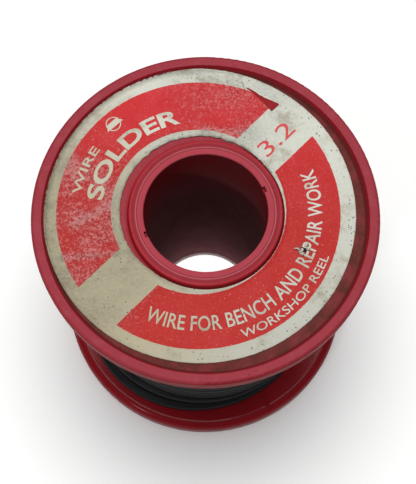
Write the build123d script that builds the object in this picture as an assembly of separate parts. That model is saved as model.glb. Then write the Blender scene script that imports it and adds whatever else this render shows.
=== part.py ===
"""Wire spool: two moulded flanges pressed on a core tube, a paper label and the winding.

Millimetres. +Z runs up the bore, and the origin is at the middle of the bottom face.
"""

import os
from math import cos, floor, radians, sin

from build123d import *

# Overall sizes
OVERALL_HEIGHT = 67.5
FLANGE_RADIUS = 36.0

# Core tube: it runs right through both flanges, and its ends sit just below their rim faces
BORE_RADIUS = 12.9
CORE_WALL = 1.35
TUBE_SETBACK = 0.25
BORE_EDGE_ROUND = 0.3
TUBE_EDGE_ROUND = 0.15
PRESS_CLEARANCE = 0.0
KEY_NICK_WIDTH = 1.3
KEY_NICK_DEPTH = 0.9
KEY_NICK_REACH = 0.6
KEY_NICK_ANGLES = (23.0, 203.0)

# Flange: a disc with a raised rim, a recess for the label and a raised hub ring
RIM_THICKNESS = 5.9
RIM_EDGE_ROUND = 0.55
RIM_FACE_WIDTH = 2.15
RIM_INNER_ROUND = 0.25
WIRE_SIDE_ROUND = 2.2
RECESS_DEPTH = 1.8
RECESS_SLOPE_WIDTH = 0.85
RECESS_FOOT_ROUND = 0.6
HUB_WALL = 2.05
HUB_DROP = 0.25
HUB_SLOPE_WIDTH = 0.45
HUB_CREST_ROUND = 0.4
HUB_FOOT_ROUND = 0.3
HUB_BEVEL = 0.15
HUB_VALLEY_WIDTH = 0.9
HUB_VALLEY_DEPTH = 0.22
HUB_VALLEY_SETBACK = 0.2
HUB_VALLEY_ROUND = 0.3

# Marks on the flange: ejector circles in the recess, and a short groove on the wire side
EJECTOR_RADIUS = 2.3
EJECTOR_DEPTH = 0.15
EJECTOR_CIRCLE_SHARE = 0.5
EJECTOR_COUNT = 3
GROOVE_WIDTH = 1.2
GROOVE_DEPTH = 0.3
GROOVE_LENGTH = 5.4
GROOVE_ANGLE = -61.0

# Paper label, glued a little off centre in the upper recess
LABEL_THICKNESS = 0.2
LABEL_OUTER_MARGIN = 0.6
LABEL_HOLE_MARGIN = 1.0
LABEL_SHIFT = (-1.15, 0.95)
LABEL_WALL_GAP = 0.05

# Winding: full layers, with the lowest turns of the last layer slack to one side
WIRE_DIAMETER = 3.2
LAYER_NESTING = 0.2
WINDING_RIM_MARGIN = 6.5
WINDING_TOP_GAP = 0.3
SLACK_ANGLE = -126.0
SLACK_SHIFTS = (4.0, 2.1)
UPPER_SLACK_SHIFT = 0.3

# Sizes that follow from those above
CORE_RADIUS = BORE_RADIUS + CORE_WALL
SOCKET_RADIUS = CORE_RADIUS + PRESS_CLEARANCE
HUB_RADIUS = SOCKET_RADIUS + HUB_WALL
RECESS_RADIUS = FLANGE_RADIUS - RIM_FACE_WIDTH - RECESS_SLOPE_WIDTH
RECESS_FLOOR_HEIGHT = OVERALL_HEIGHT - RECESS_DEPTH
WINDING_FLOOR = RIM_THICKNESS
WINDING_HEIGHT = OVERALL_HEIGHT - 2 * RIM_THICKNESS - WINDING_TOP_GAP
LAYER_PITCH = WIRE_DIAMETER - LAYER_NESTING
LAYER_ROOM = FLANGE_RADIUS - WINDING_RIM_MARGIN - CORE_RADIUS - WIRE_DIAMETER
LAYER_COUNT = 1 + floor(LAYER_ROOM / LAYER_PITCH)
WINDING_RADIUS = CORE_RADIUS + WIRE_DIAMETER + (LAYER_COUNT - 1) * LAYER_PITCH
UP_FROM_BASE = (Align.CENTER, Align.CENTER, Align.MIN)


def turned(points, rounds):
    """The solid that a closed outline of (radius, height) corners makes when turned about Z."""
    with BuildPart() as part:
        with BuildSketch(Plane.XZ):
            with BuildLine():
                FilletPolyline(*points, radius=rounds, close=True)
            make_face()
        revolve(axis=Axis.Z)
    return part.part


def flange():
    """One flange, with its outer face up at the origin's height and its wire side below."""
    valley = SOCKET_RADIUS + HUB_BEVEL + HUB_VALLEY_SETBACK
    outline = [
        (SOCKET_RADIUS, -RIM_THICKNESS, 0),
        (SOCKET_RADIUS, -HUB_DROP - HUB_BEVEL, 0),
        (SOCKET_RADIUS + HUB_BEVEL, -HUB_DROP, 0),
        (valley, -HUB_DROP, 0),
        (valley + HUB_VALLEY_WIDTH / 2, -HUB_DROP - HUB_VALLEY_DEPTH, HUB_VALLEY_ROUND),
        (valley + HUB_VALLEY_WIDTH, -HUB_DROP, 0),
        (HUB_RADIUS - HUB_SLOPE_WIDTH, -HUB_DROP, HUB_CREST_ROUND),
        (HUB_RADIUS, -RECESS_DEPTH, HUB_FOOT_ROUND),
        (RECESS_RADIUS, -RECESS_DEPTH, RECESS_FOOT_ROUND),
        (RECESS_RADIUS + RECESS_SLOPE_WIDTH, 0, RIM_INNER_ROUND),
        (FLANGE_RADIUS, 0, RIM_EDGE_ROUND),
        (FLANGE_RADIUS, -RIM_THICKNESS, WIRE_SIDE_ROUND),
    ]
    body = turned([(r, z) for r, z, _ in outline], [edge for _, _, edge in outline])
    return body - ejector_marks() - wire_groove()


def ejector_marks():
    """Shallow circles left by the mould's ejector pins in the recess floor."""
    ring = HUB_RADIUS + EJECTOR_CIRCLE_SHARE * (RECESS_RADIUS - HUB_RADIUS)
    pin = Cylinder(EJECTOR_RADIUS, EJECTOR_DEPTH, align=UP_FROM_BASE)
    places = PolarLocations(ring, EJECTOR_COUNT, start_angle=90)
    return Part() + [Pos(0, 0, -RECESS_DEPTH - EJECTOR_DEPTH) * place * pin for place in places]


def wire_groove():
    """A short radial groove across the wire side's rounded edge."""
    groove = Box(GROOVE_LENGTH, GROOVE_WIDTH, 2 * GROOVE_DEPTH)
    middle = FLANGE_RADIUS - GROOVE_LENGTH / 2
    return Rot(0, 0, GROOVE_ANGLE) * Pos(middle, 0, -RIM_THICKNESS) * groove


def upper_flange():
    return Pos(0, 0, OVERALL_HEIGHT) * flange()


def lower_flange():
    """The same moulding as the upper flange, turned over with its groove on the same side."""
    return mirror(flange(), about=Plane.XY)


def core_tube():
    low = TUBE_SETBACK
    high = OVERALL_HEIGHT - TUBE_SETBACK
    corners = [(BORE_RADIUS, low), (CORE_RADIUS, low), (CORE_RADIUS, high), (BORE_RADIUS, high)]
    rounds = [BORE_EDGE_ROUND, TUBE_EDGE_ROUND, TUBE_EDGE_ROUND, BORE_EDGE_ROUND]
    tube = turned(corners, rounds)
    nick = Box(2 * KEY_NICK_REACH, KEY_NICK_WIDTH, 2 * KEY_NICK_DEPTH)
    for angle in KEY_NICK_ANGLES:
        for height in (low, high):
            tube -= Rot(0, 0, angle) * Pos(BORE_RADIUS, 0, height) * nick
    return tube


def label():
    """A flat paper ring on the recess floor, trimmed where it meets the hub and the rim."""
    paper = Cylinder(RECESS_RADIUS - LABEL_OUTER_MARGIN, LABEL_THICKNESS, align=UP_FROM_BASE)
    hole = Cylinder(HUB_RADIUS + LABEL_HOLE_MARGIN, LABEL_THICKNESS, align=UP_FROM_BASE)
    shift_x, shift_y = LABEL_SHIFT
    ring = Pos(shift_x, shift_y, 0) * (paper - hole)
    hub_reach = HUB_RADIUS + HUB_FOOT_ROUND + LABEL_WALL_GAP
    wall_reach = RECESS_RADIUS - RECESS_FOOT_ROUND - LABEL_WALL_GAP
    floor_ring = Cylinder(wall_reach, LABEL_THICKNESS, align=UP_FROM_BASE)
    floor_ring -= Cylinder(hub_reach, LABEL_THICKNESS, align=UP_FROM_BASE)
    return Pos(0, 0, RECESS_FLOOR_HEIGHT) * (ring & floor_ring)


def slack_turns(height, shift, base):
    """Turns of the winding's own radius that lie shifted to the slack side."""
    x = shift * cos(radians(SLACK_ANGLE))
    y = shift * sin(radians(SLACK_ANGLE))
    return Pos(x, y, base) * Cylinder(WINDING_RADIUS, height, align=UP_FROM_BASE)


def wire_winding():
    """The outer shape of the whole winding as one closed ring round the core tube."""
    winding = Pos(0, 0, WINDING_FLOOR) * Cylinder(WINDING_RADIUS, WINDING_HEIGHT, align=UP_FROM_BASE)
    winding += slack_turns(WINDING_HEIGHT, UPPER_SLACK_SHIFT, WINDING_FLOOR)
    for turn, shift in enumerate(SLACK_SHIFTS):
        winding += slack_turns(WIRE_DIAMETER, shift, WINDING_FLOOR + turn * WIRE_DIAMETER)
    core = Pos(0, 0, WINDING_FLOOR) * Cylinder(CORE_RADIUS, WINDING_HEIGHT, align=UP_FROM_BASE)
    return winding - core


def main():
    os.makedirs("parts", exist_ok=True)
    nodes = {
        "upper_flange": upper_flange(),
        "lower_flange": lower_flange(),
        "core_tube": core_tube(),
        "label": label(),
        "wire_winding": wire_winding(),
    }
    for name, shape in nodes.items():
        export_step(shape, f"parts/{name}.step")
    turns = floor(WINDING_HEIGHT / WIRE_DIAMETER)
    print(f"{LAYER_COUNT} layers of {turns} turns, winding radius {WINDING_RADIUS:.2f} mm")


main()
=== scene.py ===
"""Looks for the wire spool: moulded red flanges, a worn printed paper label and a black wire winding."""

import math
import random

import bmesh
import bpy
from mathutils import Matrix, Vector, noise


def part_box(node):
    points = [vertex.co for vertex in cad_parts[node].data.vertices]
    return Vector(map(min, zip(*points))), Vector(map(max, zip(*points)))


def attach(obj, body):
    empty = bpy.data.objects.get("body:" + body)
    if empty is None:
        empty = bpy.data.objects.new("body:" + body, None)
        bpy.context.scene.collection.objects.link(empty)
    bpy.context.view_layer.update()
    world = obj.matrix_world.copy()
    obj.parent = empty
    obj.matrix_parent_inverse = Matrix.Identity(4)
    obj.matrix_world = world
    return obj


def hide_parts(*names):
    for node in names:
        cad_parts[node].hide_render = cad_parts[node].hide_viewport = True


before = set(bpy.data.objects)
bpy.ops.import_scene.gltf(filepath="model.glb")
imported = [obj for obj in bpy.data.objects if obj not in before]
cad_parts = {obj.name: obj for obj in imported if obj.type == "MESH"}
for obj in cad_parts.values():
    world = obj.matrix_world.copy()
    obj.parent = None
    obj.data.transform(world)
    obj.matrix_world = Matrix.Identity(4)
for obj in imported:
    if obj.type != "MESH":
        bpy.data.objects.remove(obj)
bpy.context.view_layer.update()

# ---------------------------------------------------------------- sizes, in metres
MM = 0.001
UPPER_LOW, UPPER_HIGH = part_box("upper_flange")
LOWER_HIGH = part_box("lower_flange")[1]
TUBE_LOW, TUBE_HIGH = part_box("core_tube")
WINDING_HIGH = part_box("wire_winding")[1]
LABEL_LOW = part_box("label")[0]
RADIUS = (UPPER_HIGH.x - UPPER_LOW.x) / 2
HEIGHT = UPPER_HIGH.z
RECESS_FLOOR = LABEL_LOW.z
TUBE_RADIUS = (TUBE_HIGH.x - TUBE_LOW.x) / 2
TUBE_WALL = 1.35 * MM
TUBE_BORE = TUBE_RADIUS - TUBE_WALL
HUB_WALL = 2.05 * MM
HUB_RADIUS = TUBE_RADIUS + HUB_WALL
RIM_WIDTH_AT_FLOOR = 3.0 * MM
RECESS_RADIUS = RADIUS - RIM_WIDTH_AT_FLOOR

PAPER_THICKNESS = 0.12 * MM
PAPER_REST = 0.16 * MM
PAPER_MIDDLE = Vector((-0.0325, 0.026)) * RADIUS
PAPER_RADIUS = 0.899 * RADIUS
PAPER_HOLE = 0.464 * RADIUS
PAPER_LIMIT = RECESS_RADIUS + 0.35 * MM
PAPER_BEND_START = RECESS_RADIUS - 0.45 * MM
PAPER_HUB_GAP = 0.12 * MM
PAPER_STEPS_AROUND = 1100
PAPER_STEPS_ACROSS = 84
PRINT_MIDDLE = Vector((-0.042, 0.024)) * RADIUS
PRINT_OUTER = 0.8195 * RADIUS
PRINT_INNER = 0.505 * RADIUS
STRIP_ANGLE = math.radians(46.5)
STRIP_HALF = 0.153 * RADIUS
INK_LIFT = 0.035 * MM

WIRE_DIAMETER = 3.2 * MM
LAYER_PITCH = 3.0 * MM
LAYER_COUNT = 5
TURNS_IN_LAYER = 16
POINTS_IN_TURN = 18
SLACK_ANGLE = math.radians(-126)
SLACK_BY_TURN = (4.0 * MM, 2.1 * MM, 0.3 * MM)
SLACK_ABOVE = 0.15 * MM


def polar(radius, degrees, middle=(0.0, 0.0)):
    """The point at that radius and angle from a middle, on the plan."""
    angle = math.radians(degrees)
    return Vector((middle[0] + radius * math.cos(angle), middle[1] + radius * math.sin(angle)))


def smooth(value, low, high):
    """0 below low, 1 above high, and a smooth step between them."""
    share = min(1.0, max(0.0, (value - low) / (high - low)))
    return share * share * (3 - 2 * share)


# ---------------------------------------------------------------- shader maths
class Value:
    """A socket in a material's node tree; arithmetic on it adds Math nodes."""

    def __init__(self, tree, socket):
        self.tree = tree
        self.socket = socket

    def math(self, operation, *others):
        """This value and the others through one Math node."""
        node = self.tree.nodes.new("ShaderNodeMath")
        node.operation = operation
        for slot, item in zip(node.inputs, (self, *others)):
            if isinstance(item, Value):
                self.tree.links.new(item.socket, slot)
            else:
                slot.default_value = item
        return Value(self.tree, node.outputs[0])

    def __add__(self, other):
        return self.math("ADD", other)

    __radd__ = __add__

    def __mul__(self, other):
        return self.math("MULTIPLY", other)

    __rmul__ = __mul__

    def __sub__(self, other):
        return self.math("SUBTRACT", other)

    def __rsub__(self, other):
        return (self * -1.0).math("ADD", other)

    def abs(self):
        return self.math("ABSOLUTE")

    def above(self, edge, blur=0.0001):
        """0 under the edge and 1 over it, with a short ramp of that blur."""
        return ((self - edge) * (1.0 / blur) + 0.5).math("MINIMUM", 1.0).math("MAXIMUM", 0.0)

    def step(self, low, high):
        """A smooth step from 0 at low to 1 at high."""
        share = ((self - low) * (1.0 / (high - low))).math("MINIMUM", 1.0).math("MAXIMUM", 0.0)
        return share * share * (3.0 - 2.0 * share)


class Finish:
    """A material built on one Principled shader."""

    def __init__(self, name, **constants):
        self.material = bpy.data.materials.new(name)
        self.material.use_nodes = True
        self.tree = self.material.node_tree
        self.shader = self.tree.nodes["Principled BSDF"]
        for socket, value in constants.items():
            self.shader.inputs[socket.replace("_", " ")].default_value = value

    def node(self, kind, settings=None, output=0, **sockets):
        """Any other node: its settings are made first, then its sockets are set or linked."""
        made = self.tree.nodes.new(kind)
        for key, value in (settings or {}).items():
            setattr(made, key, value)
        for key, value in sockets.items():
            slot = made.inputs[int(key[1:])] if key[0] == "i" and key[1:].isdigit() else made.inputs[key]
            if isinstance(value, Value):
                self.tree.links.new(value.socket, slot)
            else:
                slot.default_value = value
        return Value(self.tree, made.outputs[output])

    def place(self, offset):
        """The point's own place in the row frame, moved by that offset."""
        where = self.node("ShaderNodeTexCoord", output="Object")
        return self.node("ShaderNodeMapping", i0=where, i1=offset)

    def axis(self, letter):
        """One coordinate of the point in the row frame."""
        where = self.node("ShaderNodeTexCoord", output="Object")
        return self.node("ShaderNodeSeparateXYZ", output=letter, i0=where)

    def facing_up(self):
        """1 on a surface that faces up, 0 on a side and -1 on one that faces down."""
        normal = self.node("ShaderNodeNewGeometry", output="Normal")
        return self.node("ShaderNodeSeparateXYZ", output="Z", i0=normal)

    def noise(self, scale, detail=4.0, roughness=0.55, offset=(0.0, 0.0, 0.0), distortion=0.0):
        return self.node("ShaderNodeTexNoise", i0=self.place(offset), Scale=scale, Detail=detail,
                         Roughness=roughness, Distortion=distortion)

    def cells(self, scale, offset):
        """The distance to the nearest of many scattered points."""
        where = self.place(offset)
        return self.node("ShaderNodeTexVoronoi", output="Distance", Vector=where, Scale=scale)

    def attribute(self, name):
        """A number that the mesh carries at each of its points."""
        return self.node("ShaderNodeAttribute", {"attribute_name": name}, "Fac")

    def mix(self, share, first, second):
        """A colour between two colours; each is a tuple or a Value."""
        return self.node("ShaderNodeMix", {"data_type": "RGBA"}, 2, i0=share, i6=first, i7=second)

    def bump(self, height, strength, distance, onto=None):
        sockets = {"Height": height, "Strength": strength, "Distance": distance}
        if onto is not None:
            sockets["Normal"] = onto
        return self.node("ShaderNodeBump", **sockets)

    def feed(self, socket, value):
        self.tree.links.new(value.socket, self.shader.inputs[socket])


def rgb(red, green, blue):
    return (red, green, blue, 1.0)


# ---------------------------------------------------------------- materials
def moulded_red(name, deep, bloom_and_sheen):
    """Red moulded plastic: a deep body, a pale whitening of the outer faces that is partly aged plastic and
    partly painted sheen, dark soiling in the label recess, and painted light and shade in rings on the hub
    and along the rim's outer edge.
    """
    finish = Finish(name, IOR=1.5, Specular_IOR_Level=0.03, Coat_Roughness=0.16, Coat_IOR=1.35)
    patches = finish.noise(95.0, 5.0, 0.62)
    fine = finish.noise(900.0, 3.0, 0.6, (0.3, 0.1, 0.7))
    rubs = finish.noise(420.0, 5.0, 0.7, (0.7, 0.2, 0.9)).step(0.45, 0.7)
    x = finish.axis("X")
    y = finish.axis("Y")
    z = finish.axis("Z")
    radial = (x * x + y * y).math("SQRT")
    level = finish.facing_up().abs().step(0.25, 0.95)
    outside = z.above(HEIGHT - 2.6 * MM, 1.2 * MM) + (1.0 - z.above(2.6 * MM, 1.2 * MM))
    shade = (deep[0] * 0.72, deep[1] * 0.7, deep[2] * 0.7)
    base = finish.mix(patches.step(0.35, 0.75) * 0.5, rgb(*deep), rgb(*shade))
    # Pale whitening and painted sheen: outer faces that face up or down are lightened towards pale pink,
    # partly aged plastic and partly painted sheen.
    base = finish.mix((level * outside * (0.72 + 0.35 * patches)).math("MINIMUM", 1.0), base, rgb(*bloom_and_sheen))
    paler = (bloom_and_sheen[0] * 1.16, bloom_and_sheen[1] * 1.7, bloom_and_sheen[2] * 1.6)
    base = finish.mix(level * outside * rubs * 0.35, base, rgb(*paler))
    # Painted shade: a darker ring along the rim's rounded outer edge, on the top and bottom faces.
    edge = 1.0 - (radial - (RADIUS - 0.45 * MM)).abs().step(0.0, 0.35 * MM)
    base = finish.mix(edge * outside * 0.35, base, rgb(*shade))
    # Painted shade: a dark, saturated red ring in the groove at the hub's foot.
    foot = 1.0 - (radial - (HUB_RADIUS + 0.05 * MM)).abs().step(0.15 * MM, 0.6 * MM)
    base = finish.mix(foot * outside * 0.75, base, rgb(0.26, 0.016, 0.02))
    crescent = radial.step(0.80 * RADIUS, 0.86 * RADIUS)
    crescent = crescent * (1.0 - radial.above(RECESS_RADIUS + 0.5 * MM, 0.7 * MM))
    crescent = crescent * z.above(HEIGHT * 0.9, 0.001) * (1.0 - z.above(HEIGHT - 0.7 * MM, 0.6 * MM))
    smear = finish.noise(260.0, 6.0, 0.7, (0.2, 0.9, 0.4)).step(0.30, 0.66)
    base = finish.mix(crescent * (0.50 + 0.48 * smear), base, rgb(0.085, 0.026, 0.020))
    # Painted light: a brighter, more saturated red ring on the hub's rounded crest, for light through and
    # off it.
    ridge = 1.0 - (radial - (HUB_RADIUS - 0.55 * MM)).abs().step(0.05 * MM, 0.35 * MM)
    base = finish.mix(ridge * outside * 0.8, base, rgb(0.40, 0.024, 0.032))
    # Painted shade: a dark red ring in the shallow valley between the tube and the hub's crest.
    valley = 1.0 - (radial - (TUBE_RADIUS + 0.80 * MM)).abs().step(0.10 * MM, 0.42 * MM)
    base = finish.mix(valley * outside * 0.6, base, rgb(0.25, 0.014, 0.020))
    # Edge wear and painted highlight: a pale pink ring on the rounded edge beside the tube's top.
    worn = 1.0 - (radial - (TUBE_RADIUS + 0.22 * MM)).abs().step(0.05 * MM, 0.22 * MM)
    base = finish.mix(worn * outside * (0.3 + 0.6 * patches), base, rgb(0.46, 0.125, 0.145))
    specks = finish.noise(1500.0, 2.0, 0.5, (0.8, 0.2, 0.5)).above(0.715, 0.02)
    base = finish.mix(specks * 0.5, base, rgb(0.04, 0.012, 0.012))
    finish.feed("Base Color", base)
    finish.feed("Coat Weight", (1.0 - z.above(9 * MM, 1 * MM)) * 0.28)
    finish.feed("Roughness", 0.34 + 0.14 * patches + 0.06 * fine + 0.14 * level * outside + 0.25 * crescent)
    ripple = finish.bump(patches, 0.10, 0.0006)
    finish.feed("Normal", finish.bump(fine, 0.08, 0.00012, ripple))
    return finish.material


def tube_red(name):
    """The core tube: clean red at its ends; down the bore a painted gradient, redder near the top for light
    through the flange and greyer and duller lower down for a painted sheen.
    """
    finish = Finish(name, IOR=1.5, Specular_IOR_Level=0.0)
    z = finish.axis("Z")
    x = finish.axis("X")
    y = finish.axis("Y")
    radial = (x * x + y * y).math("SQRT")
    patches = finish.noise(120.0, 5.0, 0.65)
    ends = z.step(TUBE_HIGH.z - 0.6 * MM, TUBE_HIGH.z - 0.1 * MM)
    ends = ends + (1.0 - z.step(TUBE_LOW.z + 0.1 * MM, TUBE_LOW.z + 0.6 * MM))
    ends = ends.math("MINIMUM", 1.0)
    # Painted light and painted sheen: the bore wall goes from red near the top to greyer lower down.
    depth = z.step(TUBE_HIGH.z - 30 * MM, TUBE_HIGH.z)
    wall = finish.mix(depth, rgb(0.19, 0.085, 0.090), rgb(0.20, 0.012, 0.016))
    wall = finish.mix(patches.step(0.35, 0.7) * 0.4, wall, rgb(0.12, 0.040, 0.043))
    face = finish.mix(patches * 0.5, rgb(0.36, 0.055, 0.072), rgb(0.31, 0.036, 0.050))
    finish.feed("Base Color", finish.mix(ends, wall, face))
    finish.feed("Roughness", 0.42 + 0.2 * patches)
    rings = (radial * 9000.0).math("SINE")
    streaks = finish.noise(700.0, 4.0, 0.6)
    finish.feed("Normal", finish.bump(streaks + 0.04 * rings, 0.12, 0.0002))
    return finish.material


def paper_colours(finish):
    """Aged cream paper: yellower and dirtier to the lower left, whiter to the upper right, with specks."""
    x = finish.axis("X")
    y = finish.axis("Y")
    across = (x * 0.35 + y * 0.75) * (1.0 / RADIUS)
    cloudy = finish.noise(60.0, 5.0, 0.6)
    age = (across + (cloudy - 0.5) * 0.7).step(-0.45, 0.75)
    rightwards = x.step(-0.45 * RADIUS, 0.45 * RADIUS)
    aged = finish.mix(rightwards, rgb(0.415, 0.372, 0.255), rgb(0.46, 0.462, 0.405))
    paper = finish.mix(age, aged, rgb(0.60, 0.61, 0.545))
    stains = finish.noise(190.0, 6.0, 0.7, (0.5, 0.2, 0.1)).step(0.47, 0.72)
    paper = finish.mix(stains * 0.75, paper, rgb(0.27, 0.235, 0.16))
    fibre = finish.noise(2600.0, 4.0, 0.65, (0.1, 0.4, 0.2))
    paper = finish.mix(fibre.step(0.35, 0.75) * 0.22, paper, rgb(0.36, 0.34, 0.28))
    dots = finish.cells(760.0, (0.2, 0.3, 0.9))
    chosen = finish.noise(330.0, 2.0, 0.5, (0.7, 0.3, 0.3)).above(0.47, 0.05)
    specks = (1.0 - dots.above(0.11, 0.06)) * chosen
    paper = finish.mix(specks * 0.85, paper, rgb(0.045, 0.035, 0.028))
    radial = (x * x + y * y).math("SQRT")
    flecks = 1.0 - finish.cells(1250.0, (0.6, 0.1, 0.4)).above(0.20, 0.08)
    where = (x * 0.9 - y * 0.35).step(-0.15 * RADIUS, 0.45 * RADIUS)
    where = where * radial.step(0.79 * RADIUS, 0.82 * RADIUS)
    flecks = flecks * finish.noise(520.0, 2.0, 0.5, (0.2, 0.7, 0.1)).above(0.49, 0.05) * where
    paper = finish.mix(flecks * 0.75, paper, rgb(0.05, 0.045, 0.038))
    return paper, fibre, specks


def printed_paper(name, printed=True):
    """The label's paper, with its red print in two sectors where printed is true."""
    finish = Finish(name, IOR=1.45, Specular_IOR_Level=0.2)
    paper, fibre, specks = paper_colours(finish)
    fine = finish.bump(fibre, 0.25, 0.00008)
    if not printed:
        finish.feed("Base Color", paper)
        finish.feed("Roughness", 0.62 + 0.2 * fibre)
        finish.feed("Normal", fine)
        return finish.material
    x = finish.axis("X") - PRINT_MIDDLE.x
    y = finish.axis("Y") - PRINT_MIDDLE.y
    wobble = (finish.noise(1400.0, 3.0, 0.6) - 0.5) * (0.22 * MM)
    radial = (x * x + y * y).math("SQRT") + wobble
    across = (y * math.cos(STRIP_ANGLE) - x * math.sin(STRIP_ANGLE)).abs() + wobble
    edge = 0.12 * MM
    ink = radial.above(PRINT_INNER, edge) * (1.0 - radial.above(PRINT_OUTER, edge))
    ink = ink * across.above(STRIP_HALF, edge)
    scuff_and_sheen = finish.attribute("scuff_and_sheen")
    crease_shade = finish.attribute("crease_shade")
    dirt_and_shade = finish.attribute("dirt_and_shade")
    soft = finish.noise(150.0, 5.0, 0.6, (0.4, 0.4, 0.1))
    wrinkle = finish.noise(1500.0, 7.0, 0.75, (0.9, 0.1, 0.3), 1.0)
    back_side = (y * (1.0 / RADIUS)).step(-0.2, 0.9)
    lower_red = finish.mix(soft.step(0.3, 0.8), rgb(0.41, 0.0150, 0.0120), rgb(0.44, 0.024, 0.021))
    upper_red = finish.mix(soft.step(0.3, 0.8), rgb(0.52, 0.016, 0.021), rgb(0.55, 0.034, 0.042))
    red = finish.mix(back_side, lower_red, upper_red)
    # Painted sheen: a pink haze over the crumpled print.
    red = finish.mix((scuff_and_sheen * (0.06 + 0.22 * soft)).math("MINIMUM", 1.0), red, rgb(0.56, 0.17, 0.17))
    # Worn ink and painted glints: pale pink flecks on the crumple's raised parts.
    lifted = (wrinkle + 0.10 * scuff_and_sheen).step(0.54, 0.63)
    rubbed_and_glints = (scuff_and_sheen * lifted).math("MINIMUM", 1.0)
    red = finish.mix(rubbed_and_glints * 0.78, red, rgb(0.74, 0.31, 0.30))
    # Painted shade: darker red in the folds of the crumpled print.
    fold_shade = finish.noise(820.0, 6.0, 0.7, (0.2, 0.5, 0.8), 0.8).step(0.56, 0.74) * scuff_and_sheen
    red = finish.mix(fold_shade * 0.5, red, rgb(0.26, 0.012, 0.016))
    pinholes = finish.noise(2300.0, 2.0, 0.5, (0.3, 0.8, 0.6)).above(0.69, 0.03)
    red = finish.mix(pinholes * 0.4, red, rgb(0.62, 0.30, 0.27))
    red = finish.mix(specks * 0.7, red, rgb(0.06, 0.015, 0.015))
    colour = finish.mix(ink, paper, red)
    # Painted shade: dark red along the fold lines.
    colour = finish.mix((crease_shade * 0.8).math("MINIMUM", 1.0), colour, rgb(0.13, 0.012, 0.014))
    # Grime and painted shadow: dark brown along the paper's edges and round the tear.
    grime_and_shade = dirt_and_shade * (0.55 + 0.9 * (soft - 0.5) + 0.5 * (wrinkle - 0.4))
    colour = finish.mix(grime_and_shade.math("MINIMUM", 1.0).math("MAXIMUM", 0.0), colour, rgb(0.085, 0.065, 0.045))
    finish.feed("Base Color", colour)
    finish.feed("Roughness", 0.72 + 0.12 * fibre - ink * (0.26 - 0.14 * rubbed_and_glints))
    tucks = finish.bump(wrinkle, 0.45, 0.00025, fine)
    crumple = finish.bump(scuff_and_sheen * wrinkle, 0.8, 0.0006, tucks)
    finish.feed("Normal", crumple)
    return finish.material


def print_red(name):
    """Red print on the plain strip."""
    finish = Finish(name, IOR=1.45, Specular_IOR_Level=0.5)
    fibre = finish.noise(2600.0, 4.0, 0.65)
    red = finish.mix(fibre.step(0.4, 0.8) * 0.5, rgb(0.50, 0.016, 0.02), rgb(0.56, 0.13, 0.11))
    finish.feed("Base Color", red)
    finish.feed("Roughness", 0.45 + 0.2 * fibre)
    finish.feed("Normal", finish.bump(fibre, 0.2, 0.00006))
    return finish.material


def sheath_black(name):
    """The wire's smooth black sheath, with a soft sheen and faint handling dust."""
    finish = Finish(name, IOR=1.5, Specular_IOR_Level=0.12)
    patches = finish.noise(140.0, 5.0, 0.6)
    fine = finish.noise(1900.0, 3.0, 0.6)
    dust = finish.noise(420.0, 5.0, 0.7, (0.6, 0.6, 0.2)).step(0.5, 0.8)
    up = finish.facing_up().step(0.1, 0.9)
    base = finish.mix(dust * up * 0.25, rgb(0.0062, 0.0066, 0.0078), rgb(0.022, 0.022, 0.024))
    finish.feed("Base Color", base)
    finish.feed("Roughness", 0.36 + 0.14 * patches + 0.08 * dust)
    finish.feed("Normal", finish.bump(patches + 0.25 * fine, 0.10, 0.0003))
    return finish.material


def plain(name, colour, roughness, metallic=0.0):
    """A small part's finish, with a slight grain."""
    finish = Finish(name, Metallic=metallic, Specular_IOR_Level=0.2)
    fine = finish.noise(900.0, 3.0, 0.6)
    darker = tuple(channel * 0.7 for channel in colour)
    finish.feed("Base Color", finish.mix(fine, rgb(*colour), rgb(*darker)))
    finish.feed("Roughness", roughness + 0.15 * fine)
    finish.feed("Normal", finish.bump(fine, 0.15, 0.0001))
    return finish.material


# ---------------------------------------------------------------- mesh helpers
def mesh_piece(name, points, faces, material):
    """A mesh object that rides on the spool."""
    mesh = bpy.data.meshes.new(name)
    mesh.from_pydata(points, [], faces)
    mesh.validate()
    for polygon in mesh.polygons:
        polygon.use_smooth = True
    piece = bpy.data.objects.new(name, mesh)
    bpy.context.scene.collection.objects.link(piece)
    mesh.materials.append(material)
    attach(piece, "root")
    return piece


def give(node, material):
    """A CAD node's own mesh gets this finish."""
    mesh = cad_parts[node].data
    mesh.materials.clear()
    mesh.materials.append(material)
    for polygon in mesh.polygons:
        polygon.material_index = 0


# ---------------------------------------------------------------- the label's paper
def segment_distance(point, start, end):
    """How far a point of the plan is from a straight piece of line."""
    along = end - start
    share = max(0.0, min(1.0, (point - start).dot(along) / along.length_squared))
    return (point - start - along * share).length


# Creases: start and end as (share of radius, degrees), height, half width, and how dark the line's painted
# shade is
CREASES = (
    ((0.81, 178), (0.54, 184), 0.10 * MM, 0.26 * MM, 0.10),
    ((0.538, 180.6), (0.619, 191.9), 0.09 * MM, 0.16 * MM, 0.45),
    ((0.619, 191.9), (0.577, 204.0), 0.09 * MM, 0.16 * MM, 0.45),
    ((0.855, 199.2), (0.556, 206.3), 0.22 * MM, 0.42 * MM, 0.0),
    ((0.879, 76.6), (0.826, 74.4), 0.12 * MM, 0.16 * MM, 0.8),
    ((0.61, 47), (0.47, 40), 0.10 * MM, 0.25 * MM, 0.15),
)
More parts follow.
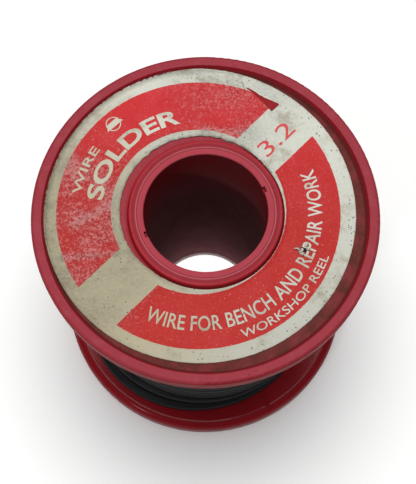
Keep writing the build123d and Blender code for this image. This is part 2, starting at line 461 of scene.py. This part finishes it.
# Bands of painted highlight, added to the crumple and wear mask: start, end and half width
HIGHLIGHT_BANDS = (
    (polar(0.855 * RADIUS, 199.2), polar(0.556 * RADIUS, 206.3), 0.75 * MM),
    (polar(0.850 * RADIUS, 158.0), polar(0.800 * RADIUS, 172.0), 1.40 * MM),
    (polar(0.760 * RADIUS, 186.0), polar(0.560 * RADIUS, 176.0), 0.95 * MM),
    (polar(0.535 * RADIUS, 92.0), polar(0.560 * RADIUS, 70.0), 0.80 * MM),
)
CREASE_LINES = [
    (polar(start[0] * RADIUS, start[1]), polar(end[0] * RADIUS, end[1]), lift, width, dark)
    for start, end, lift, width, dark in CREASES
]
TEAR_MIDDLE = polar(0.60 * RADIUS, -20.5)
TEAR_LONG = 1.15 * MM
TEAR_SHORT = 0.62 * MM
TEAR_TURN = math.radians(62)
DENT_MIDDLE = polar(0.70 * RADIUS, 126)


def crease_here(point):
    """The height of the folds at a point, and how dark their painted shade lines are there."""
    height = 0.0
    dark = 0.0
    for start, end, lift, width, depth in CREASE_LINES:
        away = segment_distance(point, start, end)
        if away < 4 * width:
            wave = 1 + 0.5 * noise.noise(Vector((point.x * 900, point.y * 900, lift * 1e4)))
            height += lift * math.exp(-((away / width) ** 2)) * wave
            dark = max(dark, depth * math.exp(-((away / (0.55 * width)) ** 2)))
    return height, dark


def scuff_and_sheen_here(point):
    """How crumpled and worn the print is, which also sets its painted sheen and glints: most on the left,
    and some at the top and by the hub.
    """
    angle = math.degrees(math.atan2(point.y, point.x))
    left = 1 - smooth(abs((angle - 190 + 180) % 360 - 180), 22, 62)
    upper = 1 - smooth(abs(angle - 78), 14, 40)
    near_hub = (1 - smooth(point.length / RADIUS, 0.52, 0.60)) * (1 - smooth(abs(angle - 95), 25, 60))
    cloud = 0.65 + 0.7 * noise.noise(Vector((point.x * 160, point.y * 160, 3.0)))
    spread = max(left, 0.75 * upper, 0.9 * near_hub) * cloud + 0.10
    shares = [segment_distance(point, start, end) / width for start, end, width in HIGHLIGHT_BANDS]
    band = 1.25 * max(math.exp(-(share**2)) for share in shares)
    return max(0.0, min(1.0, 0.85 * spread)) + band * (0.30 + 0.40 * cloud)


def paper_height(point):
    """How high the paper's upper side stands over the recess floor at a point of the plan."""
    from_hub = point.length
    cockle = 0.10 * MM * noise.noise(Vector((point.x * 90, point.y * 90, 1.7)))
    cockle += 0.045 * MM * noise.noise(Vector((point.x * 260, point.y * 260, 5.1)))
    crumple = 0.055 * MM * scuff_and_sheen_here(point) * noise.noise(Vector((point.x * 900, point.y * 900, 9.3)))
    climb = max(0.0, from_hub - PAPER_BEND_START)
    wall = 0.35 * climb + 750.0 * climb * climb
    hub_lift = 0.30 * MM * (1 - smooth(from_hub, HUB_RADIUS + 0.1 * MM, HUB_RADIUS + 1.1 * MM))
    dent = -0.14 * MM * math.exp(-(((point - DENT_MIDDLE).length / (0.7 * MM)) ** 2))
    tear_lift = 0.22 * MM * math.exp(-(((point - TEAR_MIDDLE).length / (1.6 * MM)) ** 2))
    folds = crease_here(point)[0]
    height = PAPER_REST + 0.10 * MM + cockle + crumple + folds + hub_lift + dent + tear_lift + wall
    return max(height, PAPER_THICKNESS + 0.03 * MM)


def dirt_and_shade_here(point, edge_share, hole_share):
    """Grime and painted shadow along the paper's inner edge, thickest to the right and top, and a little at
    the outer edge and round the tear.
    """
    angle = math.degrees(math.atan2(point.y, point.x))
    inner_side = 0.55 + 0.45 * (1 - smooth(abs(angle - 40), 50, 120))
    inner = inner_side * (1 - smooth(hole_share, 0.0, 0.045))
    outer = 0.35 * (1 - smooth(edge_share, 0.0, 0.02))
    patch = 0.8 + 0.9 * noise.noise(Vector((point.x * 700, point.y * 700, 2.2)))
    tear = 0.9 * math.exp(-(((point - TEAR_MIDDLE).length / (1.3 * MM)) ** 2))
    return max(0.0, min(1.0, (inner + outer) * patch + tear))


def in_tear(point):
    """Whether a point of the plan lies in the torn hole."""
    gap = point - TEAR_MIDDLE
    u = gap.x * math.cos(TEAR_TURN) + gap.y * math.sin(TEAR_TURN)
    v = gap.y * math.cos(TEAR_TURN) - gap.x * math.sin(TEAR_TURN)
    ragged = 1 + 0.45 * noise.noise(Vector((point.x * 1500, point.y * 1500, 7.7)))
    return (u / TEAR_LONG) ** 2 + (v / TEAR_SHORT) ** 2 < ragged


def label_paper(material):
    """The paper ring as a fine mesh: cockled, creased, ragged at its hole, and torn in one place."""
    around = PAPER_STEPS_AROUND
    rings = PAPER_STEPS_ACROSS
    points = []
    scuff_and_sheen_values = []
    crease_shade_values = []
    dirt_and_shade_values = []
    for i in range(around):
        angle = 2 * math.pi * i / around
        direction = Vector((math.cos(angle), math.sin(angle)))
        ragged = 0.16 * MM * noise.noise(direction.to_3d() * 14)
        ragged += 0.10 * MM * noise.noise(direction.to_3d() * 55)
        ragged -= 0.35 * MM * max(0.0, noise.noise(direction.to_3d() * 9 + Vector((4, 2, 1))) - 0.15)
        trim = 0.05 * MM * noise.noise(direction.to_3d() * 30)
        inner = PAPER_HOLE + ragged
        outer = PAPER_RADIUS + trim
        for j in range(rings + 1):
            share = j / rings
            point = PAPER_MIDDLE + direction * (inner + (outer - inner) * share)
            if point.length < HUB_RADIUS + PAPER_HUB_GAP:
                point = point.normalized() * (HUB_RADIUS + PAPER_HUB_GAP + 0.02 * MM * share)
            if point.length > PAPER_LIMIT:
                point = point.normalized() * PAPER_LIMIT
            points.append((point.x, point.y, RECESS_FLOOR + paper_height(point)))
            scuff_and_sheen_values.append(scuff_and_sheen_here(point))
            crease_shade_values.append(crease_here(point)[1])
            dirt_and_shade_values.append(dirt_and_shade_here(point, 1 - share, share))
    faces = []
    for i in range(around):
        ahead = (i + 1) % around
        for j in range(rings):
            here = i * (rings + 1) + j
            beside = ahead * (rings + 1) + j
            corners = (here, here + 1, beside + 1, beside)
            middle = sum((Vector(points[k]).to_2d() for k in corners), Vector((0, 0))) / 4
            if not in_tear(middle):
                faces.append(corners)
    piece = mesh_piece("printed_label", points, faces, material)
    for name, values in (("scuff_and_sheen", scuff_and_sheen_values), ("crease_shade", crease_shade_values), ("dirt_and_shade", dirt_and_shade_values)):
        layer = piece.data.attributes.new(name, "FLOAT", "POINT")
        layer.data.foreach_set("value", values)
    body = bmesh.new()
    body.from_mesh(piece.data)
    bmesh.ops.delete(body, geom=[v for v in body.verts if not v.link_faces], context="VERTS")
    body.to_mesh(piece.data)
    body.free()
    thick = piece.modifiers.new("thickness", "SOLIDIFY")
    thick.thickness = PAPER_THICKNESS
    thick.offset = -1
    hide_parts("label")


def on_paper(points, lift):
    """Plan points laid on the paper's upper side."""
    return [(p.x, p.y, RECESS_FLOOR + paper_height(p) + lift) for p in points]


# ---------------------------------------------------------------- print: letters and the small emblem
# A capital letter's height as a share of the type size
CAP_SHARE_OF_SIZE = 0.69


def letter_mesh(text, cap_height, condense, weight):
    """The flat mesh of a line of text, its left end at x = 0 and its base line at y = 0, and its width."""
    curve = bpy.data.curves.new("type", "FONT")
    curve.body = text
    curve.size = cap_height / CAP_SHARE_OF_SIZE
    curve.offset = weight
    curve.fill_mode = "FRONT"
    curve.resolution_u = 4
    line = bpy.data.objects.new("type", curve)
    bpy.context.scene.collection.objects.link(line)
    bpy.context.view_layer.update()
    mesh = bpy.data.meshes.new_from_object(line.evaluated_get(bpy.context.evaluated_depsgraph_get()))
    bpy.data.objects.remove(line)
    body = bmesh.new()
    body.from_mesh(mesh)
    bpy.data.meshes.remove(mesh)
    bmesh.ops.remove_doubles(body, verts=body.verts, dist=1e-6)
    for _ in range(2):
        long_edges = [e for e in body.edges if e.calc_length() > 0.16 * cap_height]
        bmesh.ops.subdivide_edges(body, edges=long_edges, cuts=1)
    bmesh.ops.triangulate(body, faces=body.faces)
    body.verts.index_update()
    points = [Vector((v.co.x * condense, v.co.y)) for v in body.verts]
    faces = [[v.index for v in f.verts] for f in body.faces]
    body.free()
    low = min(p.x for p in points)
    high = max(p.x for p in points)
    return [Vector((p.x - low, p.y)) for p in points], faces, high - low


def arc_line(name, text, cap_height, base_radius, start, end, tops_out, material, weight):
    """A line of text on an arc between two angles in degrees; its letters' tops point out or in."""
    arc = math.radians(abs(end - start)) * base_radius
    _, _, natural = letter_mesh(text, cap_height, 1.0, weight)
    points, faces, width = letter_mesh(text, cap_height, arc / natural, weight)
    bent = []
    for point in points:
        angle = start + (end - start) * point.x / width
        radius = base_radius + point.y if tops_out else base_radius - point.y
        bent.append(polar(radius, angle, PRINT_MIDDLE))
    face_up(mesh_piece(name, on_paper(bent, INK_LIFT), faces, material))


def straight_line(name, text, cap_height, middle, direction, length, material):
    """A line of text on a straight base line, centred on a point of the plan."""
    _, _, natural = letter_mesh(text, cap_height, 1.0, 0.0)
    points, faces, width = letter_mesh(text, cap_height, length / natural, 0.0)
    along = Vector((math.cos(direction), math.sin(direction)))
    up = Vector((-along.y, along.x))
    laid = [middle + along * (p.x - width / 2) + up * (p.y - cap_height / 2) for p in points]
    face_up(mesh_piece(name, on_paper(laid, INK_LIFT), faces, material))


def face_up(piece):
    """Every face of a flat piece looks up."""
    body = bmesh.new()
    body.from_mesh(piece.data)
    body.normal_update()
    bmesh.ops.reverse_faces(body, faces=[f for f in body.faces if f.normal.z < 0])
    body.to_mesh(piece.data)
    body.free()


def ring_mark(name, middle, outer, inner, material):
    """A flat printed ring."""
    count = 64
    points = []
    for radius in (inner, outer):
        points += [polar(radius, 360 * k / count, middle) for k in range(count)]
    faces = [(k, (k + 1) % count, count + (k + 1) % count, count + k) for k in range(count)]
    face_up(mesh_piece(name, on_paper(points, INK_LIFT), faces, material))


def bar_mark(name, middle, direction, length, width, taper, material):
    """A flat printed bar, narrower on its upper side."""
    along = Vector((math.cos(direction), math.sin(direction)))
    up = Vector((-along.y, along.x))
    steps = 12
    points = []
    for k in range(steps + 1):
        share = k / steps - 0.5
        points.append(middle + along * share * length - up * width / 2)
        points.append(middle + along * share * length * taper + up * width / 2)
    faces = [(2 * k, 2 * k + 2, 2 * k + 3, 2 * k + 1) for k in range(steps)]
    face_up(mesh_piece(name, on_paper(points, INK_LIFT), faces, material))


# ---------------------------------------------------------------- the torn place
def tear_pieces(paper_back, dark):
    """Peeled fibres that stand round the torn hole, and a dark disc under it that is painted shade."""
    rnd = random.Random(11)
    bed = [polar(1.5 * MM, 360 * k / 24, TEAR_MIDDLE) for k in range(24)]
    low = [(p.x, p.y, RECESS_FLOOR + 0.02 * MM) for p in bed]
    # Painted shade: a dark disc on the recess floor under the torn hole.
    mesh_piece("tear_shadow_disc", low, [tuple(range(24))], dark)
    for k in range(7):
        angle = TEAR_TURN + math.radians(rnd.uniform(-70, 70) + (180 if k % 2 else 0))
        out = Vector((math.cos(angle), math.sin(angle)))
        side = Vector((-out.y, out.x))
        root = TEAR_MIDDLE + out * rnd.uniform(0.5, 0.85) * MM
        long = rnd.uniform(0.5, 1.3) * MM
        wide = rnd.uniform(0.10, 0.28) * MM
        lift = rnd.uniform(0.15, 0.55) * MM
        points = []
        steps = 6
        for j in range(steps + 1):
            share = j / steps
            middle = root + out * long * share + side * 0.12 * MM * math.sin(3 * share + k)
            half = wide * (1 - share) ** 0.6 + 0.015 * MM
            height = RECESS_FLOOR + paper_height(root) + 0.03 * MM + lift * math.sin(math.pi * 0.75 * share)
            for hand in (-1, 1):
                edge = middle + side * half * hand
                points.append((edge.x, edge.y, height + 0.04 * MM * hand * share))
        faces = [(2 * j, 2 * j + 1, 2 * j + 3, 2 * j + 2) for j in range(steps)]
        flap = mesh_piece(f"torn_fibre_{k + 1}", points, faces, paper_back)
        thick = flap.modifiers.new("thickness", "SOLIDIFY")
        thick.thickness = 0.05 * MM


def flap_edge_radius(share):
    """The radius of the folded flap's outer edge, at a share of its length."""
    return (0.846 - 0.022 * smooth(share, 0.0, 0.6)) * RADIUS


def folded_flap(dark, pale):
    """The flap where the print is folded over itself, in a darker red that is painted shade, and the pale
    ridge along its outer edge.
    """
    rows = 14
    points = []
    for k in range(rows + 1):
        share = k / rows
        outer = polar(flap_edge_radius(share), 74.3 - 15.6 * share)
        inner = polar((0.840 - 0.080 * share) * RADIUS, 74.0 - 14.2 * share)
        for across in (0.0, 0.35, 1.0):
            place = outer.lerp(inner, across)
            lift = (0.07 + 0.20 * share * (1 - across) + 0.02 * across) * MM
            points.append((place.x, place.y, RECESS_FLOOR + paper_height(place) + lift))
    corners = [3 * k + j for k in range(rows) for j in range(2)]
    faces = [(corner, corner + 1, corner + 4, corner + 3) for corner in corners]
    face_up(mesh_piece("folded_flap", points, faces, dark))
    points = []
    for k in range(rows + 1):
        share = k / rows
        wave = 0.10 * MM * noise.noise(Vector((share * 9, 2.0, 5.0)))
        radius = flap_edge_radius(share) + wave
        half = (0.04 + 0.08 * math.sin(math.pi * share)) * MM
        for side in (half, -half):
            place = polar(radius + side, 73.6 - 13.6 * share)
            height = RECESS_FLOOR + paper_height(place) + (0.10 + 0.20 * share) * MM
            points.append((place.x, place.y, height))
    faces = [(2 * k, 2 * k + 1, 2 * k + 3, 2 * k + 2) for k in range(rows)]
    face_up(mesh_piece("folded_ridge", points, faces, pale))


# ---------------------------------------------------------------- the wire
def turn_height(turns):
    """Turns of helix as whole turns that lie level, each crossing to the next in its last part."""
    whole = math.floor(turns + 1e-9)
    return whole + smooth(turns - whole, 0.80, 1.0)


def slack_at(turn, angle):
    """How far an outer turn stands off the layer under it, at an angle round the spool."""
    reach = SLACK_BY_TURN[turn] if turn < len(SLACK_BY_TURN) else SLACK_ABOVE
    away = abs((angle - SLACK_ANGLE + math.pi) % (2 * math.pi) - math.pi)
    if away > math.radians(100):
        return 0.0
    return reach * math.cos(0.9 * away) ** 2


def wire_route():
    """The whole wire, up one layer and down the next, its ends at the core and on the outside."""
    low = LOWER_HIGH.z + WIRE_DIAMETER / 2 + 0.02 * MM
    high = WINDING_HIGH.z - WIRE_DIAMETER / 2
    pitch = (high - low) / TURNS_IN_LAYER
    first_radius = TUBE_RADIUS + WIRE_DIAMETER / 2 + 0.03 * MM
    back = math.radians(100)
    bulge = 2 / (1 + math.cos(math.pi / POINTS_IN_TURN))
    rnd = random.Random(5)
    route = []
    step = 1 / POINTS_IN_TURN
    for layer in range(LAYER_COUNT):
        last = layer == LAYER_COUNT - 1
        count = TURNS_IN_LAYER * POINTS_IN_TURN
        drift = [rnd.uniform(-1, 1) for _ in range(TURNS_IN_LAYER + 2)]
        for k in range(count):
            turns = k * step
            angle = back + 2 * math.pi * turns
            raised = turn_height(turns)
            z = low + pitch * raised if layer % 2 == 0 else high - pitch * raised
            climb = smooth(turns, 0.0, 0.35) if layer else 1.0
            radius = first_radius + LAYER_PITCH * (layer - 1 + climb if layer else 0)
            whole = int(turns)
            share = turns - whole
            if last:
                radius += slack_at(whole, angle) * (1 - share) + slack_at(whole + 1, angle) * share
                radius += 0.10 * MM * (drift[whole] * (1 - share) + drift[whole + 1] * share)
                if 2 < whole < TURNS_IN_LAYER - 1:
                    z += 0.05 * MM * drift[whole]
            route.append(Vector((radius * bulge * math.cos(angle), radius * bulge * math.sin(angle), z)))
    return route


def wire_winding(material):
    """The wire as one smooth curve with its whole length in its turns."""
    route = wire_route()
    curve = bpy.data.curves.new("wound_wire", "CURVE")
    curve.dimensions = "3D"
    spline = curve.splines.new("NURBS")
    spline.points.add(len(route) - 1)
    for point, place in zip(spline.points, route):
        point.co = (*place, 1.0)
    spline.order_u = 3
    spline.use_endpoint_u = True
    curve.resolution_u = 4
    curve.bevel_depth = WIRE_DIAMETER / 2
    curve.bevel_resolution = 5
    curve.use_fill_caps = True
    curve.materials.append(material)
    wire = bpy.data.objects.new("wound_wire", curve)
    bpy.context.scene.collection.objects.link(wire)
    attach(wire, "root")
    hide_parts("wire_winding")
    return wire, route


def cut_end(route, metal):
    """The bright core at the wire's cut end."""
    tip = route[-1]
    along = (route[-1] - route[-2]).normalized()
    side = along.cross(Vector((0, 0, 1))).normalized()
    up = side.cross(along)
    count = 32
    points = []
    for push, radius in ((-0.2 * MM, 0.95 * MM), (0.06 * MM, 0.95 * MM), (0.14 * MM, 0.80 * MM)):
        for k in range(count):
            angle = 2 * math.pi * k / count
            uneven = 1 + 0.04 * math.sin(5 * angle)
            spoke = side * math.cos(angle) + up * math.sin(angle)
            points.append(tip + along * push + spoke * radius * uneven)
    points.append(tip + along * 0.10 * MM)
    faces = []
    for ring in range(2):
        for k in range(count):
            ahead = (k + 1) % count
            this = ring * count
            following = this + count
            faces.append((this + k, this + ahead, following + ahead, following + k))
    faces += [(2 * count + k, 2 * count + (k + 1) % count, 3 * count) for k in range(count)]
    faces.append(tuple(reversed(range(count))))
    return mesh_piece("cut_core", points, faces, metal)


def curve_length(curve_object):
    """The length of a curve's own line."""
    bare = curve_object.data.copy()
    bare.bevel_depth = 0
    holder = bpy.data.objects.new("bare", bare)
    mesh = bpy.data.meshes.new_from_object(holder)
    places = [v.co.copy() for v in mesh.vertices]
    bpy.data.objects.remove(holder)
    bpy.data.meshes.remove(mesh)
    bpy.data.curves.remove(bare)
    return sum((b - a).length for a, b in zip(places, places[1:]))


# ---------------------------------------------------------------- camera, floor and lights
CAMERA_ELEVATION = math.radians(71.37)
CAMERA_ROLL = math.radians(0.962)
CAMERA_PLACE = Vector((0.016, -1.964, 7.150)) * RADIUS
CAMERA_LENS = 73.2
CAMERA_SENSOR = 36.0
FLOOR_HALF_WIDTH = 2.0
SPOT_MARGIN = 0.6 * MM
SPOT_LIFT = 0.05 * MM
SPOT_GLOW = 0.85
SKY_TOP_SHARE = 0.8
SKY_AT_HORIZON = 0.05
SKY_OVERHEAD = 0.36


def camera():
    eye = bpy.data.cameras.new("camera")
    eye.lens = CAMERA_LENS
    eye.sensor_width = CAMERA_SENSOR
    eye.clip_start = 0.01
    holder = bpy.data.objects.new("camera", eye)
    turn = Matrix.Rotation(math.pi / 2 - CAMERA_ELEVATION, 4, "X") @ Matrix.Rotation(CAMERA_ROLL, 4, "Z")
    holder.matrix_world = Matrix.Translation(CAMERA_PLACE) @ turn
    bpy.context.scene.collection.objects.link(holder)
    bpy.context.scene.camera = holder


def floor():
    """The pale floor under the spool, for the picture only."""
    half = FLOOR_HALF_WIDTH
    mesh = bpy.data.meshes.new("floor")
    corners = [(-half, -half, 0), (half, -half, 0), (half, half, 0), (-half, half, 0)]
    mesh.from_pydata(corners, [], [(0, 1, 2, 3)])
    finish = Finish("pale_floor", Roughness=0.9, Specular_IOR_Level=0.1)
    finish.shader.inputs["Base Color"].default_value = rgb(0.95, 0.95, 0.95)
    mesh.materials.append(finish.material)
    ground = bpy.data.objects.new("floor", mesh)
    bpy.context.scene.collection.objects.link(ground)


def soft_light(name, place, size, power, tint):
    """A round soft light aimed at the middle of the spool."""
    light = bpy.data.lights.new(name, "AREA")
    light.shape = "DISK"
    light.size = size
    light.energy = power
    light.color = tint
    holder = bpy.data.objects.new(name, light)
    holder.location = place
    aim = Vector((0, 0, HEIGHT / 2)) - Vector(place)
    holder.rotation_euler = aim.to_track_quat("-Z", "Y").to_euler()
    bpy.context.scene.collection.objects.link(holder)


def sky(world):
    """A soft sky: dim at the horizon, and brighter with height up to a share of the way overhead."""
    tree = world.node_tree
    background = tree.nodes["Background"]
    coordinates = tree.nodes.new("ShaderNodeTexCoord")
    split = tree.nodes.new("ShaderNodeSeparateXYZ")
    ramp = tree.nodes.new("ShaderNodeMapRange")
    ramp.inputs["From Min"].default_value = 0.0
    ramp.inputs["From Max"].default_value = SKY_TOP_SHARE
    ramp.inputs["To Min"].default_value = SKY_AT_HORIZON
    ramp.inputs["To Max"].default_value = SKY_OVERHEAD
    tree.links.new(coordinates.outputs["Generated"], split.inputs[0])
    tree.links.new(split.outputs["Z"], ramp.inputs["Value"])
    tree.links.new(ramp.outputs["Result"], background.inputs["Strength"])
    background.inputs["Color"].default_value = rgb(0.95, 0.98, 1.0)


def bright_spot():
    """A glowing disc on the staged floor, so that the bore shows bright at its bottom.

    It isn't part of the spool.
    """
    count = 48
    radius = TUBE_BORE - SPOT_MARGIN
    points = [(*polar(radius, 360 * k / count), SPOT_LIFT) for k in range(count)]
    mesh = bpy.data.meshes.new("bright_spot")
    mesh.from_pydata(points, [], [tuple(range(count))])
    finish = Finish("bright_spot", Emission_Strength=SPOT_GLOW)
    finish.shader.inputs["Emission Color"].default_value = rgb(1.0, 1.0, 1.0)
    mesh.materials.append(finish.material)
    spot = bpy.data.objects.new("bright_spot", mesh)
    bpy.context.scene.collection.objects.link(spot)


def studio():
    world = bpy.data.worlds.new("studio")
    bpy.context.scene.world = world
    world.use_nodes = True
    sky(world)
    soft_light("overhead", place=(-0.02, 0.14, 0.95), size=0.65, power=8.2, tint=(1.0, 0.99, 0.97))
    soft_light("window", place=(-0.36, -0.50, 0.42), size=0.08, power=0.62, tint=(0.95, 0.98, 1.0))
    bpy.context.scene.view_settings.view_transform = "Standard"


# ---------------------------------------------------------------- build
camera()
sheath = sheath_black("sheath_black")
wire, wire_points = wire_winding(sheath)
core = cut_end(wire_points, plain("bright_core", (0.62, 0.62, 0.60), 0.28, 1.0))
curve_length(wire)

flange_red = moulded_red("moulded_red", (0.235, 0.0050, 0.0095), (0.285, 0.040, 0.054))
give("upper_flange", flange_red)
give("lower_flange", flange_red)
give("core_tube", tube_red("tube_red"))

label_paper(printed_paper("printed_paper"))
knocked_out = printed_paper("bare_paper", printed=False)
strip_red = print_red("strip_red")
# Piece, words, letter height, base line's radius, start and end in degrees, tops out, stroke weight
ARC_LINES = (
    ("print_main_word", "SOLDER", 0.090, 0.560, 175, 102, True, 0.13 * MM),
    ("print_small_word", "WIRE", 0.050, 0.690, 173, 148, True, 0.03 * MM),
    ("print_long_line", "WIRE FOR BENCH AND REPAIR WORK", 0.082, 0.714, -114, 22, False, 0.05 * MM),
    ("print_short_line", "WORKSHOP REEL", 0.048, 0.795, -71, -20, False, 0.02 * MM),
)
for name, words, letter, base_line, start, end, tops_out, weight in ARC_LINES:
    arc_line(name, words, letter * RADIUS, base_line * RADIUS, start, end, tops_out, knocked_out, weight)
gauge_middle = Vector((0.408, 0.480)) * RADIUS
straight_line("print_gauge", "3.2", 0.098 * RADIUS, gauge_middle, STRIP_ANGLE, 0.245 * RADIUS, strip_red)
emblem = polar(0.742 * RADIUS, 134, PRINT_MIDDLE)
ring_mark("print_emblem_ring", emblem, 0.046 * RADIUS, 0.040 * RADIUS, knocked_out)
bar_mark("print_emblem_bar", emblem, math.radians(44), 0.120 * RADIUS, 0.036 * RADIUS, 0.55, knocked_out)
# Painted shade: the folded flap's print is a darker red than the rest of the print.
folded_flap(plain("folded_print_shade", (0.26, 0.0, 0.002), 0.55), knocked_out)
tear_pieces(plain("paper_fibre", (0.52, 0.49, 0.42), 0.8), plain("tear_shadow", (0.03, 0.016, 0.012), 0.9))

floor()
bright_spot()
studio()
